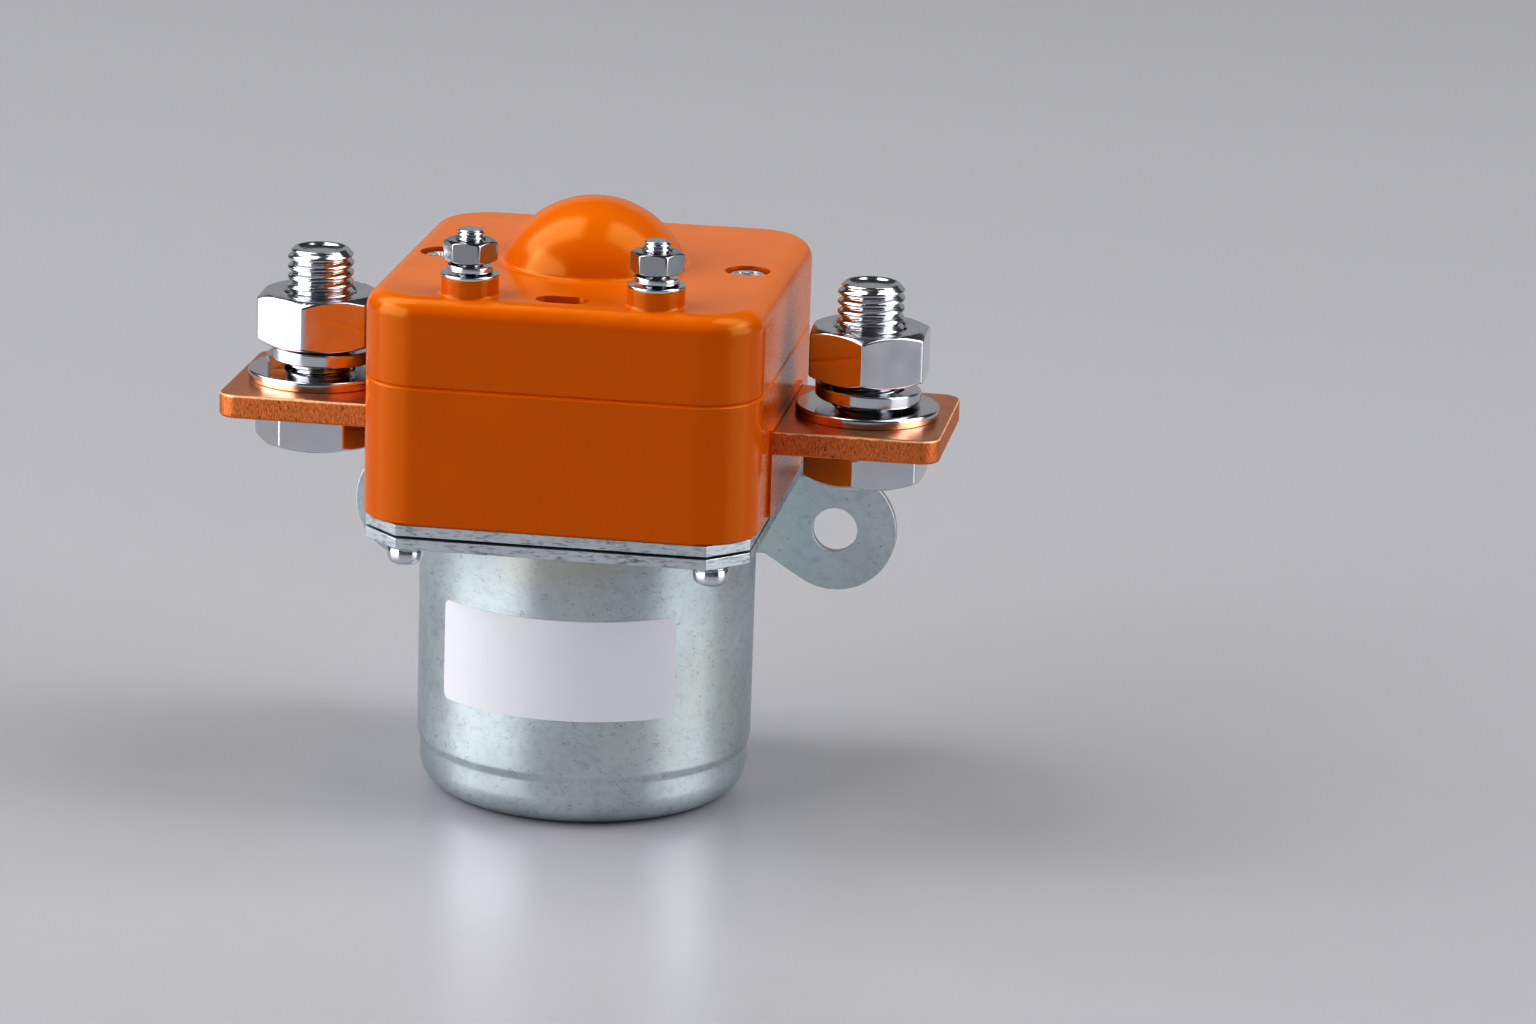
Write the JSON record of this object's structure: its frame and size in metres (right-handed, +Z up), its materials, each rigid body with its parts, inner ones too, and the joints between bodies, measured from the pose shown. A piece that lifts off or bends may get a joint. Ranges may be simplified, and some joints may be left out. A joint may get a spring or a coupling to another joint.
{
  "type": "high voltage dc contactor",
  "caption": "Sealed single-pole DC contactor: steel coil can with eared bracket, moulded contact housing, copper bars with bolts, nuts and washers, small coil studs.",
  "frame": {"origin": "centre of the can's flat underside, which the contactor stands on", "axes": "+Z up along the can and the plunger; -Y is the front with the coil studs; the copper bars leave along -X and +X"},
  "size_m": [0.108, 0.0661, 0.0905],
  "materials": {
    "can_steel": "satin zinc plate with fine pits",
    "sheet_steel": "satin zinc plate",
    "gasket_black": "matte",
    "fastener_steel": "bright nickel and zinc plate",
    "orange_plastic": "gloss",
    "copper": "rolled copper, sheared edges",
    "label_white": "coated white",
    "core_iron": "turned iron",
    "sleeve_brass": "drawn tube",
    "bobbin_black": "moulded",
    "winding_copper": "enamelled wire",
    "spring_steel": "drawn spring wire",
    "bumper_rubber": "matte",
    "bush_white": "moulded",
    "tip_silver": "silver alloy",
    "magnet_grey": "sintered",
    "lead_red": "insulated wire"
  },
  "bodies": {
    "housing": {"can": "can_steel", "mounting_bracket": "sheet_steel", "plate_gasket": "gasket_black", "yoke_plate": "sheet_steel", "plate_screws": "fastener_steel", "plate_screw_washers": "fastener_steel", "contact_base": "orange_plastic", "cover": "orange_plastic", "cover_screws": "fastener_steel", "bar_left": "copper", "bar_right": "copper", "terminal_bolt_left": "fastener_steel", "terminal_bolt_right": "fastener_steel", "terminal_washers": "fastener_steel", "terminal_spring_washers": "fastener_steel", "terminal_nuts": "fastener_steel", "coil_stud_left": "fastener_steel", "coil_stud_right": "fastener_steel", "coil_washers": "fastener_steel", "coil_spring_washers": "fastener_steel", "coil_nuts": "fastener_steel", "label": "label_white", "fixed_core": "core_iron", "guide_sleeve": "sleeve_brass", "bobbin": "bobbin_black", "winding": "winding_copper", "return_spring": "spring_steel", "rest_bumper": "bumper_rubber", "fixed_tips": "tip_silver", "blowout_magnets": "magnet_grey", "coil_leads": "lead_red"},
    "armature": {"plunger": "core_iron", "plunger_rod": "core_iron", "bridge_bush": "bush_white", "spring_seat": "sheet_steel", "rod_nut": "fastener_steel", "contact_spring": "spring_steel"},
    "bridge": {"contact_bridge": "copper", "bridge_tips": "tip_silver", "spring_cup": "bush_white"}
  },
  "joints": [
    {"name": "armature_slide", "type": "slide", "parent": "housing", "child": "armature", "axis": [0, 0, 1], "range_m": [-0.004, 0], "stiffness_N_per_m": 1200, "springref_m": 0.006, "deforming": ["return_spring"]},
    {"name": "bridge_slide", "type": "slide", "parent": "armature", "child": "bridge", "axis": [0, 0, 1], "range_m": [0, 0.001], "deforming": ["contact_spring"]}
  ],
  "couplings": [
    {"joint": "bridge_slide", "follows": "armature_slide", "ratio": -0.25}
  ]
}
